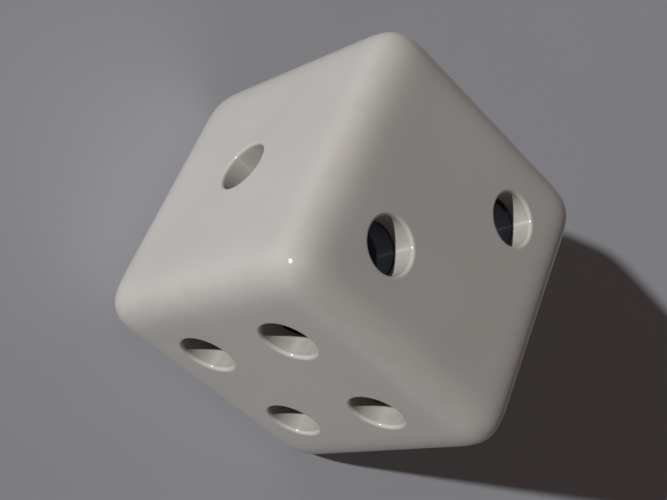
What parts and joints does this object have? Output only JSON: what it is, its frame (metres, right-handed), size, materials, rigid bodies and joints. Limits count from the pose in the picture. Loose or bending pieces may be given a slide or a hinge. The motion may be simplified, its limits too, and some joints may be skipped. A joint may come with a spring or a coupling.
{
  "type": "casino die",
  "caption": "Cubic gaming die with rounded edges and corners, and deep round pip sockets with dark enamel inlays.",
  "frame": {"origin": "middle of the cube, where the normals of all six faces meet", "axes": "+Z out of the two, -Y out of the one, +X out of the four, -X out of the three, +Y out of the six, -Z out of the five, on which it rests"},
  "size_m": [0.019, 0.019, 0.019],
  "materials": {
    "body_plastic": "polished off-white plastic",
    "pip_enamel": "glossy near-black enamel"
  },
  "bodies": {
    "root": {"die_body": "body_plastic", "one_pip_1": "pip_enamel", "two_pip_1": "pip_enamel", "two_pip_2": "pip_enamel", "three_pip_1": "pip_enamel", "three_pip_2": "pip_enamel", "three_pip_3": "pip_enamel", "four_pip_1": "pip_enamel", "four_pip_2": "pip_enamel", "four_pip_3": "pip_enamel", "four_pip_4": "pip_enamel", "five_pip_1": "pip_enamel", "five_pip_2": "pip_enamel", "five_pip_3": "pip_enamel", "five_pip_4": "pip_enamel", "five_pip_5": "pip_enamel", "six_pip_1": "pip_enamel", "six_pip_2": "pip_enamel", "six_pip_3": "pip_enamel", "six_pip_4": "pip_enamel", "six_pip_5": "pip_enamel", "six_pip_6": "pip_enamel"}
  },
  "joints": []
}
